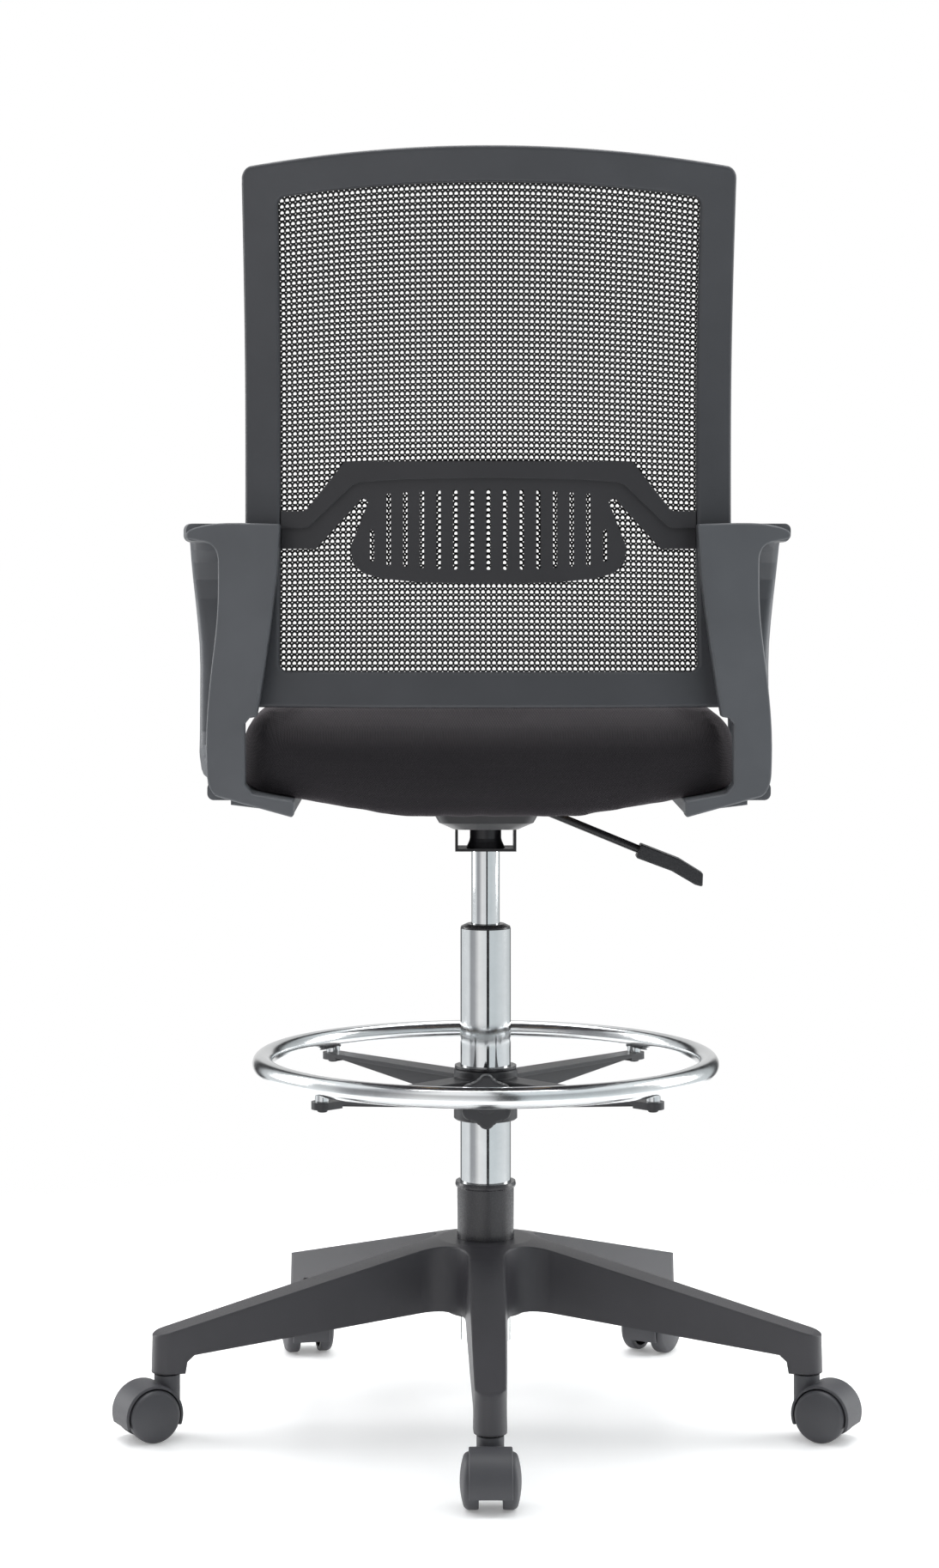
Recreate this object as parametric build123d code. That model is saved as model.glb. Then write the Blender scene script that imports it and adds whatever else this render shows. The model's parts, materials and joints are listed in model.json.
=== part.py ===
"""Drafting chair: five-star base on twin-wheel casters, gas lift with a sliding foot ring,
upholstered seat, two loop arms that carry a mesh back with a slotted lumbar support.

Millimetres. +Z is up and Z = 0 is the floor. X = Y = 0 is the axis of the gas lift.
The chair faces -Y, so the back stands towards +Y, and -X is the sitter's right hand.
"""
from build123d import *
import os
from math import cos, radians, sin

os.makedirs("parts", exist_ok=True)

# ---------------------------------------------------------------- driving dimensions
RUN = 0.05                      # radial clearance of a shaft that turns in its hole

LEG_COUNT = 5
FIRST_LEG = 90.0                # direction of the first leg, degrees from +X
STEM_CIRCLE = 322.0             # radius from the column axis to a caster stem
LEG_END_R = 15.0                # rounded end of a leg, around the stem
LEG_END_BOTTOM = 62.0
LEG_END_TOP = 100.0
HUB_TOP = 170.0
HUB_BOTTOM = 98.0
WEB_RADIUS = 34.0               # concave corner between two legs, seen from above
LEG_TOP_HALF = 14.0
LEG_BOTTOM_HALF = 21.0

WHEEL_R = 25.0
WHEEL_WIDTH = 16.8
WHEEL_GAP = 21.4                # between the two wheels of a caster
CASTER_TRAIL = 20.0
CASTER_HEADINGS = [90.0, 153.0, 58.5, 101.5, 27.0]   # where each caster trails, degrees from +X
STEM_R = 5.5
AXLE_R = 3.0
HOOD_R = 29.0
HOOD_HALF = 19.5
HOOD_BOTTOM = 15.0
NECK_R = 12.4
NECK_TOP = 60.0

TUBE_R = 25.0
TUBE_WALL = 1.8
TUBE_BOTTOM = 70.0
TUBE_TOP = 475.0
COLLAR_R = 28.0
COLLAR_TOP = 226.0
PISTON_R = 14.0
CYLINDER_BOTTOM = 200.0
CYLINDER_TOP = 582.0
TAPER_START = 552.0
TAPER_TOP_R = 13.3
ROD_R = 5.0
PIN_R = 3.5

RING_R = 220.0                  # centreline of the foot ring
RING_TUBE_R = 10.0
RING_Z = 343.0
RING_HUB_R = 31.3
RING_HUB_BOTTOM = 287.0
RING_HUB_TOP = 337.0
SPOKE_ANGLES = [45.0, 135.0, 225.0, 315.0]
BOSS_R = 7.0                    # bosses that the spokes' screws hold
BOSS_DROP = 13.6                # from the ring's centreline down to the spokes
SCREW_R = 2.5
KNOB_Z = 314.0
KNOB_R = 26.0

PLATE_BOTTOM = 601.0
PLATE_TOP = 604.0
SEAT_BOLT_X = 65.0
SEAT_BOLT_Y = 85.0

SEAT_TOP = 700.0
SEAT_BOTTOM = 604.0
SEAT_FRONT = -245.0
SEAT_REAR = 230.0
SEAT_HALF_REAR = 225.0
SEAT_HALF_MID = 236.0
BOARD_THICK = 12.0
NUT_ROOM = 5.0                  # between the board and the foam, for the tee nuts' flanges

BACK_HALF = 228.0               # half of the back's width
OPENING_HALF = 193.0
BACK_TOP = 1216.0
BACK_BOTTOM = 701.0
BACK_THICK = 20.0
MESH_FRAME_THICK = 6.0
PLAN_BOW = 22.0                 # how much further back the middle stands than the sides
# height (Z) against depth (Y) of the back's rear surface at its side edges; the arms' rear
# posts lie on that surface and carry it on down past the seat
BACK_PROFILE = [(590, 232), (645, 232), (700, 223), (760, 209), (840, 198), (930, 196), (1020, 203),
                (1110, 226), (1230, 272)]

ARM_TOP = 873.0
POST_THICK = 23.0
ARM_BOLTS = [(192.0, 85.0), (192.0, 160.0)]      # bolts through each arm's foot, |x| and y
# how the arm loop's section changes along its length: share of the length, x of its middle,
# width across the chair, thickness
LOOP_SECTIONS = [
    (0.00, 257, 46, 16), (0.18, 266, 54, 18), (0.36, 272, 50, 19), (0.50, 268, 41, 26),
    (0.60, 268, 41, 26), (0.68, 262, 38, 18), (0.78, 254, 30, 17), (1.00, 245, 26, 17),
]
LOOP_STEPS = 36
SLOT_PITCH = 15.4                # slots of the lumbar pad
SLOT_MIDDLE = 867.0
SLOT_WIDTH = 4.0
BACK_SCREW_X = 214.0
BACK_SCREW_HEIGHTS = [760, 840]  # both are heights of BACK_PROFILE
SCREW_SEAT = 10.5               # from the moulding's rear face forward to a screw head


def save(name, shape):
    export_step(shape, f"parts/{name}.step")


def ring(radius, hole, low, high):
    """A straight tube on the Z axis."""
    tube = Cylinder(radius, high - low, align=(Align.CENTER, Align.CENTER, Align.MIN))
    if hole > 0:
        tube -= Cylinder(hole, high - low, align=(Align.CENTER, Align.CENTER, Align.MIN))
    return Pos(0, 0, low) * tube


def turned(points):
    """A closed (radius, height) outline turned about Z."""
    outline = Plane.XZ * make_face(Polyline(*points, close=True))
    return revolve(outline, Axis.Z)


def at_angle(degrees_from_x, radius, shape):
    return Rot(0, 0, degrees_from_x) * Pos(radius, 0, 0) * shape


def box(low, high):
    size = [b - a for a, b in zip(low, high)]
    return Pos(*low) * Box(*size, align=(Align.MIN, Align.MIN, Align.MIN))


# ---------------------------------------------------------------- five-star base
def star_outline(half_width_end, half_width_hub, inset=0.0):
    """The star seen from above: five tapered legs joined by concave corners."""
    length = STEM_CIRCLE
    leg = make_face(Polyline(
        (0, -half_width_hub - 4), (length, -half_width_end), (length, half_width_end),
        (0, half_width_hub + 4), close=True))
    star = Sketch() + [Rot(0, 0, FIRST_LEG + 72 * i) * leg for i in range(LEG_COUNT)]
    inner = star.vertices().sort_by(lambda v: Vector(v.X, v.Y, 0).length)[:LEG_COUNT]
    star = fillet(inner, WEB_RADIUS - inset)
    ends = [at_angle(FIRST_LEG + 72 * i, length, Circle(half_width_end)) for i in range(LEG_COUNT)]
    return star + ends


def star_body():
    """The outlines' loft gives the flanks their draft; a turned profile gives top and underside."""
    low = Pos(0, 0, LEG_END_BOTTOM) * star_outline(LEG_END_R, LEG_BOTTOM_HALF)
    high = Pos(0, 0, HUB_TOP) * star_outline(LEG_END_R - 2.5, LEG_TOP_HALF)
    flanks = loft([low.face(), high.face()], ruled=True)
    reach = STEM_CIRCLE + 2 * LEG_END_R
    block = STEM_CIRCLE - LEG_END_R
    envelope = turned([
        (0, HUB_BOTTOM), (60, HUB_BOTTOM + 8), (block - 8, LEG_END_BOTTOM + 17),
        (block - 1, LEG_END_BOTTOM + 11), (block + 1, LEG_END_BOTTOM), (reach, LEG_END_BOTTOM),
        (reach, LEG_END_TOP - 8), (STEM_CIRCLE + 7, LEG_END_TOP), (75, HUB_TOP - 6), (46, HUB_TOP),
        (0, HUB_TOP)])
    return flanks & envelope


def base_star():
    star = star_body()
    hub = ring(38, 0, HUB_BOTTOM, HUB_BOTTOM + 30)
    star = star + hub
    star -= ring(TUBE_R, 0, TUBE_BOTTOM, HUB_TOP + 1)
    for i in range(LEG_COUNT):
        socket = ring(STEM_R + RUN, 0, LEG_END_BOTTOM - 1, LEG_END_TOP - 6)
        star -= at_angle(FIRST_LEG + 72 * i, STEM_CIRCLE, socket)
    return star


def column_collar():
    """Black sleeve that hides the joint between the hub and the outer tube."""
    return turned([
        (TUBE_R, HUB_TOP), (COLLAR_R, HUB_TOP), (COLLAR_R, COLLAR_TOP - 6), (COLLAR_R + 1.6, COLLAR_TOP - 5),
        (COLLAR_R + 2, COLLAR_TOP - 3), (COLLAR_R + 1.4, COLLAR_TOP), (TUBE_R, COLLAR_TOP)])


# ---------------------------------------------------------------- casters
def to_caster(shape):
    """Turn a shape made about Z so that its axis lies along the caster's axle."""
    return Pos(CASTER_TRAIL, 0, WHEEL_R) * Rot(-90, 0, 0) * shape


def caster_stem():
    """Steel pin with a flange that bears on the leg end and a groove for its grip ring."""
    return turned([
        (0, 38), (STEM_R - 1, 38), (STEM_R, 39), (STEM_R, 58.5), (7, 58.5), (7, LEG_END_BOTTOM - 0.1),
        (STEM_R, LEG_END_BOTTOM - 0.1), (STEM_R, 84), (STEM_R - 0.9, 84.5), (STEM_R - 0.9, 87),
        (STEM_R, 87.5), (STEM_R, 92), (STEM_R - 1, 93), (0, 93)])


def caster_hood():
    """Fender over both wheels, a web between them that holds the axle, and the swivel neck."""
    drum = to_caster(Cylinder(HOOD_R, 2 * HOOD_HALF))
    drum = fillet(drum.edges().filter_by(GeomType.CIRCLE), 1.2)
    neck = ring(NECK_R, 0, WHEEL_R, NECK_TOP)
    hood = drum + neck
    for side in (-1, 1):
        room = to_caster(Pos(0, 0, side * (WHEEL_GAP / 2 - 0.7 + 20)) * Cylinder(WHEEL_R + 1.3, 40))
        hood -= room
    hood -= box((-60, -60, -10), (90, 60, HOOD_BOTTOM))
    hood -= ring(STEM_R + RUN, 0, 37.5, NECK_TOP + 1)
    hood -= turned([(STEM_R, 56), (NECK_R - 4, 56), (NECK_R - 1.4, NECK_TOP + 1), (STEM_R, NECK_TOP + 1)])
    hood -= to_caster(Cylinder(AXLE_R, 80))
    return hood


def caster_axle():
    pin = Cylinder(AXLE_R, 2 * (WHEEL_GAP / 2 + 12.5))
    return to_caster(chamfer(pin.edges().filter_by(GeomType.CIRCLE), 0.4))


def caster_wheel(side):
    """Wheel turned about its axle: flat tread, rounded shoulder and shallow domed cap outside,
    an annular recess and a blind axle hole inside."""
    inner = WHEEL_GAP / 2
    outer = inner + WHEEL_WIDTH
    rise = outer - inner - 13.6
    cap_r = ((WHEEL_R - 3.6) ** 2 + rise ** 2) / (2 * rise)      # sphere centred on the axle
    with BuildPart() as wheel:
        with BuildSketch(Plane.XZ):
            with BuildLine():
                Polyline((0, inner + 13.0), (AXLE_R + RUN, inner + 13.0), (AXLE_R + RUN, inner),
                         (7.0, inner), (7.0, inner + 9), (20.5, inner + 9), (20.5, inner),
                         (WHEEL_R - 0.6, inner), (WHEEL_R, inner + 1.6), (WHEEL_R, inner + 8.5))
                ThreePointArc(
                    (WHEEL_R, inner + 8.5), (WHEEL_R - 1.1, inner + 11.6), (WHEEL_R - 3.6, inner + 13.6))
                RadiusArc((WHEEL_R - 3.6, inner + 13.6), (0, outer), -cap_r)
                Line((0, outer), (0, inner + 13.0))
            make_face()
        revolve(axis=Axis.Z)
    shape = wheel.part
    if side < 0:
        shape = Rot(180, 0, 0) * shape
    return to_caster(shape)


def place_caster(index, shape):
    angle = radians(FIRST_LEG + 72 * index)
    stem_x = STEM_CIRCLE * cos(angle)
    stem_y = STEM_CIRCLE * sin(angle)
    return Pos(stem_x, stem_y, 0) * Rot(0, 0, CASTER_HEADINGS[index]) * shape


# ---------------------------------------------------------------- gas lift
def column_tube():
    """Chrome outer tube with a floor that the piston rod hangs in."""
    tube = ring(TUBE_R, TUBE_R - TUBE_WALL, TUBE_BOTTOM, TUBE_TOP)
    floor = ring(TUBE_R - TUBE_WALL, ROD_R + RUN, TUBE_BOTTOM, TUBE_BOTTOM + 4)
    return tube + floor


def guide_bush():
    """Plastic liner that guides the inner cylinder, with a domed cap on the tube's rim."""
    liner_r = TUBE_R - TUBE_WALL - 0.02
    return turned([
        (PISTON_R + 0.08, TUBE_TOP - 85), (liner_r, TUBE_TOP - 85), (liner_r, TUBE_TOP + 0.02),
        (TUBE_R - 0.3, TUBE_TOP + 0.02), (TUBE_R - 0.8, TUBE_TOP + 2), (PISTON_R + 5, TUBE_TOP + 4.5),
        (PISTON_R + 0.08, TUBE_TOP + 4.5)])


def thrust_bearing():
    return ring(15, ROD_R + RUN, TUBE_BOTTOM + 4, TUBE_BOTTOM + 11)


def rubber_bumper():
    return ring(13, ROD_R + 0.4, TUBE_BOTTOM + 13, TUBE_BOTTOM + 25)


def retaining_clip():
    """Spring clip in the rod's groove under the tube's floor."""
    clip = ring(9, ROD_R - 1, TUBE_BOTTOM - 2.2, TUBE_BOTTOM - 0.6)
    return clip - box((-2, 0, TUBE_BOTTOM - 5), (2, 12, TUBE_BOTTOM))


def piston_rod():
    """Rod that stands on the thrust bearing by its shoulder, with the piston on top."""
    low = TUBE_BOTTOM - 6
    return turned([
        (0, low), (ROD_R - 0.6, low), (ROD_R, low + 1), (ROD_R, low + 3.8), (ROD_R - 1, low + 3.8),
        (ROD_R - 1, low + 5.4), (ROD_R, low + 5.4), (ROD_R, TUBE_BOTTOM + 11), (11, TUBE_BOTTOM + 11),
        (11, TUBE_BOTTOM + 13), (ROD_R, TUBE_BOTTOM + 13), (ROD_R, 356), (12.3, 356), (12.3, 372), (0, 372)])


def gas_cylinder():
    """Inner cylinder: straight chrome wall, tapered top, a pressure chamber and the valve bore."""
    body = turned([
        (0, CYLINDER_BOTTOM), (PISTON_R - 1, CYLINDER_BOTTOM), (PISTON_R, CYLINDER_BOTTOM + 1),
        (PISTON_R, TAPER_START), (TAPER_TOP_R, CYLINDER_TOP), (0, CYLINDER_TOP)])
    body -= ring(12.35, 0, CYLINDER_BOTTOM + 15, 515)
    body -= ring(ROD_R + RUN, 0, CYLINDER_BOTTOM - 1, CYLINDER_BOTTOM + 16)
    body -= ring(PIN_R + RUN, 0, 530, CYLINDER_TOP + 1)
    return body


def release_pin():
    top = CYLINDER_TOP + 3.4
    pin = ring(PIN_R, 0, 536, top)
    return fillet(pin.edges().sort_by(Axis.Z)[-1], 1.5)


# ---------------------------------------------------------------- foot ring
def foot_ring():
    """Chrome ring of four quarter bends, each with a tapped boss welded under its middle."""
    section = Plane.XZ * Pos(RING_R, RING_Z) * Circle(RING_TUBE_R)
    bend = revolve(section, Axis.Z, revolution_arc=90)
    bend += at_angle(45, RING_R, ring(BOSS_R, 0, RING_Z - BOSS_DROP + 0.1, RING_Z - 4))
    bend -= at_angle(45, RING_R, ring(SCREW_R + 0.1, 0, RING_Z - BOSS_DROP, RING_Z - 3))
    tube = bend
    for angle in SPOKE_ANGLES[1:]:
        tube += Rot(0, 0, angle - 45) * bend
    return tube


def spoke():
    """A level flange that carries the ring on a fin that deepens towards the hub."""
    top = RING_Z - BOSS_DROP
    tip = RING_R + 12
    fin = Plane.XZ * make_face(Polyline(
        (20, top - 29), (40, top - 27), (RING_R - 14, top - 6), (RING_R - 14, top), (20, top),
        close=True))
    web = extrude(fin, amount=3, both=True)
    flange = extrude(Pos(0, 0, top - 7) * (make_face(Polyline(
        (20, -14), (tip - 12, -10.5), (tip - 12, 10.5), (20, 14), close=True))
        + Pos(tip - 12, 0) * Circle(10.5)), amount=7)
    under = box((10, -20, top - 9), (RING_R - 16, 20, top - 4))
    return (flange - under) + web


def ring_hub():
    """Hub that turns on the bush, with four spokes and a boss for the clamp screw."""
    hub = ring(RING_HUB_R, 0, RING_HUB_BOTTOM, RING_HUB_TOP)
    hub = chamfer(hub.edges().filter_by(GeomType.CIRCLE), 1.2)
    for angle in SPOKE_ANGLES:
        hub += Rot(0, 0, angle) * spoke()
        head_room = ring(SCREW_R + 0.2, 0, RING_Z - 30, RING_Z - 10)
        hub -= at_angle(angle, RING_R, head_room)
    boss = Pos(0, 38, KNOB_Z) * Rot(90, 0, 0) * Cylinder(12, 16)
    hub += boss
    hub -= ring(COLLAR_R + RUN, 0, RING_HUB_BOTTOM - 1, RING_HUB_TOP + 1)
    hub -= Pos(0, 36, KNOB_Z) * Rot(90, 0, 0) * Cylinder(4 + RUN, 40)
    return hub


def ring_screws():
    group = []
    for angle in SPOKE_ANGLES:
        seat = RING_Z - BOSS_DROP - 7
        head = ring(5, 0, seat - 3, seat)
        head = fillet(head.edges().sort_by(Axis.Z)[0], 1.6)
        shank = ring(SCREW_R, 0, seat - 0.5, RING_Z - 4)
        drive = ring(1.6, 0, seat - 3.2, seat - 1.6)
        group.append(at_angle(angle, RING_R, head + shank - drive))
    return Compound(children=group)


def clamp_bush():
    """Split plastic bush between the hub and the column tube."""
    bush = turned([
        (TUBE_R + RUN, RING_HUB_BOTTOM + 1), (COLLAR_R, RING_HUB_BOTTOM + 1), (COLLAR_R, RING_HUB_TOP + 0.5),
        (COLLAR_R + 2.4, RING_HUB_TOP + 0.5), (COLLAR_R + 2.4, RING_HUB_TOP + 3),
        (TUBE_R + RUN, RING_HUB_TOP + 3)])
    return bush - box((-1.5, -40, RING_HUB_BOTTOM - 1), (1.5, 0, RING_HUB_TOP + 8))


def clamp_knob():
    """Six-lobed knob with a raised centre cap."""
    disc = Circle(KNOB_R - 3)
    for i in range(6):
        disc += Rot(0, 0, 60 * i + 30) * Pos(KNOB_R - 8, 0) * Circle(8)
    for i in range(6):
        disc -= Rot(0, 0, 60 * i) * Pos(KNOB_R + 4, 0) * Circle(8)
    body = extrude(disc, amount=15)
    body = body + Cylinder(13, 8, align=(Align.CENTER, Align.CENTER, Align.MAX))
    cap = Pos(0, 0, 15) * Cylinder(11, 1.6, align=(Align.CENTER, Align.CENTER, Align.MIN))
    body = fillet(body.edges().group_by(Axis.Z)[-1], 2.2)
    body += fillet(cap.edges().sort_by(Axis.Z)[-1], 0.9)
    body -= Pos(0, 0, -9) * Cylinder(4, 16, align=(Align.CENTER, Align.CENTER, Align.MIN))
    return Pos(0, 56, KNOB_Z) * Rot(-90, 0, 0) * body


def clamp_screw():
    """Threaded stud of the knob; its end presses the split bush on the tube."""
    stud = Cylinder(4, 33.6, align=(Align.CENTER, Align.CENTER, Align.MIN))
    stud = chamfer(stud.edges().filter_by(GeomType.CIRCLE), 0.8)
    return Pos(0, COLLAR_R + 0.4, KNOB_Z) * Rot(-90, 0, 0) * stud


# ---------------------------------------------------------------- seat mechanism
def seat_plate():
    plate = Box(160, 210, PLATE_TOP - PLATE_BOTTOM, align=(Align.CENTER, Align.CENTER, Align.MIN))
    plate = fillet(plate.edges().filter_by(Axis.Z), 18)
    plate = Pos(0, 0, PLATE_BOTTOM) * plate
    for x in (-SEAT_BOLT_X, SEAT_BOLT_X):
        for y in (-SEAT_BOLT_Y, SEAT_BOLT_Y):
            plate -= Pos(x, y, 0) * ring(3.1, 0, PLATE_BOTTOM - 1, PLATE_TOP + 1)
    return plate


def pan_skin(inset):
    """Loft of three rounded rectangles, from the plate down to the bottom of the pan."""
    def level(half_x, half_y, z, corner):
        outline = RectangleRounded(2 * (half_x - inset), 2 * (half_y - inset), corner)
        return Pos(0, 0, z) * outline
    sections = [level(56, 74, PLATE_BOTTOM, 16), level(46, 64, 583, 14), level(32, 52, 576, 12)]
    return loft([s.face() for s in sections], ruled=True)


def mechanism_pan():
    """Pressed steel pan under the plate, open inside, with holes for the cup and the lever."""
    pan = pan_skin(0)
    pan -= Pos(0, 0, 2.5) * pan_skin(2.2) & box((-99, -99, 578.2), (99, 99, PLATE_BOTTOM + 9))
    pan -= ring(15.6, 0, 570, 580)
    pan -= box((-60, -6, 584), (-40, 6, 599.6))
    return pan


def taper_cup():
    """Welded cup whose tapered bore sits on the gas cylinder."""
    return turned([
        (PISTON_R, TAPER_START), (19, TAPER_START), (19, TAPER_START + 3), (16.2, TAPER_START + 9),
        (15.5, TAPER_START + 12), (15.5, CYLINDER_TOP), (TAPER_TOP_R, CYLINDER_TOP)])


def cup_bracket():
    """Bent strap that ties the foot of the cup to the bottom of the pan."""
    strap = box((-30, -20, TAPER_START), (30, 20, 576))
    strap -= box((-27.3, -30, TAPER_START + 2.7), (27.3, 30, 580))
    strap -= ring(19, 0, TAPER_START - 1, TAPER_START + 4)
    return strap


def lever_path():
    return [(5.0, 590.0), (-60.0, 590.0), (-150.0, 553.0), (-176.0, 541.0)]


def lever_rod():
    """Bent steel rod: level inside the pan, then down towards the handle."""
    points = [(x, 0, z) for x, z in lever_path()]
    path = FilletPolyline(*points, radius=[24, 30])
    section = Plane(origin=points[0], z_dir=(-1, 0, 0)) * Circle(4)
    rod = sweep(section, path=path)
    return rod - Pos(-24, 0, 590) * Rot(90, 0, 0) * Cylinder(2 + RUN, 20)


def lever_pivot():
    """Cross pin on two ears that carries the lever."""
    pin = Pos(-24, 0, 590) * Rot(90, 0, 0) * Cylinder(2, 30)
    for y in (-12, 12):
        pin += box((-31, y - 1.5, 586), (-17, y + 1.5, PLATE_BOTTOM))
    return pin


def lever_handle():
    """Flat paddle grip that narrows and turns down at its tip."""
    outline = make_face(Polyline(
        (-148, 545), (-153, 558.5), (-191, 543.7), (-214, 529.5), (-213.5, 516.5), (-206, 518.5),
        (-183, 532), close=True))
    outline = fillet(outline.vertices(), 1.6)
    grip = extrude(Plane.XZ * outline, amount=12, both=True)
    grip = fillet(grip.edges().filter_by(lambda e: abs(e.center().Y) > 11.9), 1.4)
    points = [(x, 0, z) for x, z in lever_path()]
    path = FilletPolyline(*points, radius=[24, 30])
    section = Plane(origin=points[0], z_dir=(-1, 0, 0)) * Circle(4)
    return grip - sweep(section, path=path)


def bolt_with_head(x, y, seat, top, head_r=6.5, shank_r=3.0):
    """Flanged bolt driven upwards: the underside of its head bears at height seat."""
    head = turned([
        (0, seat - 5.3), (head_r - 2.6, seat - 5.3), (head_r - 1.6, seat - 4.6), (head_r - 1.2, seat - 1.6),
        (head_r, seat - 1.2), (head_r, seat), (shank_r, seat), (shank_r, top), (0, top)])
    socket = extrude(Pos(0, 0, seat - 5.4) * RegularPolygon(2.5, 6), amount=2.8)
    return Pos(x, y, 0) * (head - socket)


def seat_bolts():
    group = []
    for x in (-SEAT_BOLT_X, SEAT_BOLT_X):
        for y in (-SEAT_BOLT_Y, SEAT_BOLT_Y):
            group.append(bolt_with_head(x, y, PLATE_BOTTOM, 619))
    return Compound(children=group)


# ---------------------------------------------------------------- seat
def seat_outline(inset):
    """Seat seen from above: rounded front, nearly straight sides, slightly narrower rear."""
    half_rear = SEAT_HALF_REAR - inset
    half_mid = SEAT_HALF_MID - inset
    rear = SEAT_REAR - inset
    front = SEAT_FRONT + inset
    shape = make_face(Polyline(
        (-half_rear, rear), (half_rear, rear), (half_mid, 20), (half_mid - 8, front),
        (-half_mid + 8, front), (-half_mid, 20), close=True))
    shape = fillet(shape.vertices().group_by(Axis.Y)[-1], 34 - inset * 0.6)
    return fillet(shape.vertices().group_by(Axis.Y)[0], 82 - inset * 0.6)


def dished(low_middle, thick, reach=260):
    """Slab along Y whose middle is level and whose sides rise outwards."""
    edge = [(-reach, 30), (-80, 0), (80, 0), (reach, 30)]
    lower = [(x, low_middle + z) for x, z in edge]
    upper = [(x, z + thick) for x, z in reversed(lower)]
    return extrude(Plane.XZ * make_face(Polyline(*lower, *upper, close=True)), amount=400, both=True)


def board_bottom(x):
    return SEAT_BOTTOM + max(0.0, (abs(x) - 80.0) / 6.0)


def seat_board():
    """Moulded plywood shell under the cushion, drilled for the plate and the arms."""
    board = dished(SEAT_BOTTOM, BOARD_THICK) & extrude(Pos(0, 0, 560) * seat_outline(14), amount=150)
    for x in (-SEAT_BOLT_X, SEAT_BOLT_X):
        for y in (-SEAT_BOLT_Y, SEAT_BOLT_Y):
            board -= Pos(x, y, 0) * ring(4.6, 0, 590, 650)
    for x, y in ARM_BOLTS:
        for side in (-1, 1):
            board -= Pos(side * x, y, 0) * ring(4.6, 0, 590, 660)
    return board


def seat_nuts():
    """Flanged tee nuts pressed into the board from above."""
    group = []
    places = [(x, y, SEAT_BOTTOM) for x in (-SEAT_BOLT_X, SEAT_BOLT_X) for y in (-SEAT_BOLT_Y, SEAT_BOLT_Y)]
    places += [(side * x, y, board_bottom(x)) for side in (-1, 1) for x, y in ARM_BOLTS]
    for x, y, bottom in places:
        top = bottom + BOARD_THICK
        barrel = ring(4.5, 3.05, bottom + 3, top + 1.6)
        flange = ring(9, 3.05, top + 1.5, top + 2.9)
        group.append(Pos(x, y, 0) * (barrel + flange))
    return Compound(children=group)


def seat_cushion():
    """Plain foam block over the board, with its edges rounded."""
    block = extrude(Pos(0, 0, SEAT_BOTTOM + 1) * seat_outline(0), amount=SEAT_TOP - SEAT_BOTTOM - 1)
    block = fillet(block.edges().group_by(Axis.Z)[-1], 26)
    block -= dished(SEAT_BOTTOM - 80, 80 + BOARD_THICK + NUT_ROOM)
    skirt = dished(SEAT_BOTTOM + 2, BOARD_THICK + NUT_ROOM - 1) & extrude(
        Pos(0, 0, 560) * (seat_outline(2) - seat_outline(13.6)), amount=150)
    return block + skirt


# ---------------------------------------------------------------- loop arms
def post_outline():
    """The rear post seen from behind, for the +X arm."""
    top = ARM_TOP
    return make_face(
        Polyline((192, top - 1), (230, top))
        + Spline((230, top), (252, top - 0.6), (270, top - 4), (280, top - 10.5),
                 tangents=[(1, 0), (0.35, -1)])
        + Polyline((280, top - 10.5), (278.5, top - 14.5), (263, top - 17.5))
        + Spline((263, top - 17.5), (253.5, top - 23), (249.8, top - 34), tangents=[(-1, -0.2), (-0.1, -1)])
        + Spline((249.8, top - 34), (250, top - 80), (254.5, top - 130), (258.5, 690), (258, 645),
                 tangents=[(0, -1), (-0.05, -1)])
        + Spline((258, 645), (254, 629), (246, 622.5), tangents=[(-0.05, -1), (-1, -0.18)])
        + Polyline((246, 622.5), (180, 605.2), (178, 606.5), (178, 620.3 - 0.6), (216, 626.0),
                   (222.5, 634), (223.5, 689), (219, 694.5), (212.5, 695.5), (209, 716),
                   (201, 775), (195, 825), (192, top - 1)))


def eased(share):
    """Row of LOOP_SECTIONS at a share of the length, eased between its rows."""
    for low, high in zip(LOOP_SECTIONS, LOOP_SECTIONS[1:]):
        if share <= high[0]:
            part = (share - low[0]) / (high[0] - low[0])
            part = part * part * (3 - 2 * part)
            return [a + (b - a) * part for a, b in zip(low[1:], high[1:])]
    return list(LOOP_SECTIONS[-1][1:])


def loop_path():
    """Seen from the side: forwards along the pad, down the strut, back under the seat."""
    return FilletPolyline(
        (0, 205, ARM_TOP - 8.5), (0, -108, ARM_TOP - 9), (0, -92, 633), (0, 240, 627.5), radius=[66, 40])


def arm_loop():
    """Rounded rectangles across the loop's path, joined by ruled faces."""
    path = loop_path()
    sections = []
    for step in range(LOOP_STEPS + 1):
        share = step / LOOP_STEPS
        middle, width, thick = eased(share)
        spot = path.position_at(share)
        plane = Plane(origin=(middle, spot.Y, spot.Z), x_dir=(1, 0, 0), z_dir=path.tangent_at(share))
        sections.append((plane * RectangleRounded(width, thick, min(width, thick) * 0.36)).face())
    return loft(sections, ruled=True)


def arm_foot():
    """Flange under the seat board that carries the bolts, ribbed along its length."""
    plan = make_face(Polyline((178, 60), (236, 20), (236, 246), (178, 246), close=True))
    plan = fillet(plan.vertices().sort_by(lambda v: v.X + v.Y)[:2], 12)
    foot = extrude(Pos(0, 0, 600) * plan, amount=40)
    lower = [(170, 607), (250, 617), (250, 628.2), (240, board_bottom(240) - 0.4),
             (170, board_bottom(170) - 0.4)]
    slab = extrude(Plane.XZ * make_face(Polyline(*lower, close=True)), amount=400, both=True)
    return foot & slab


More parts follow.
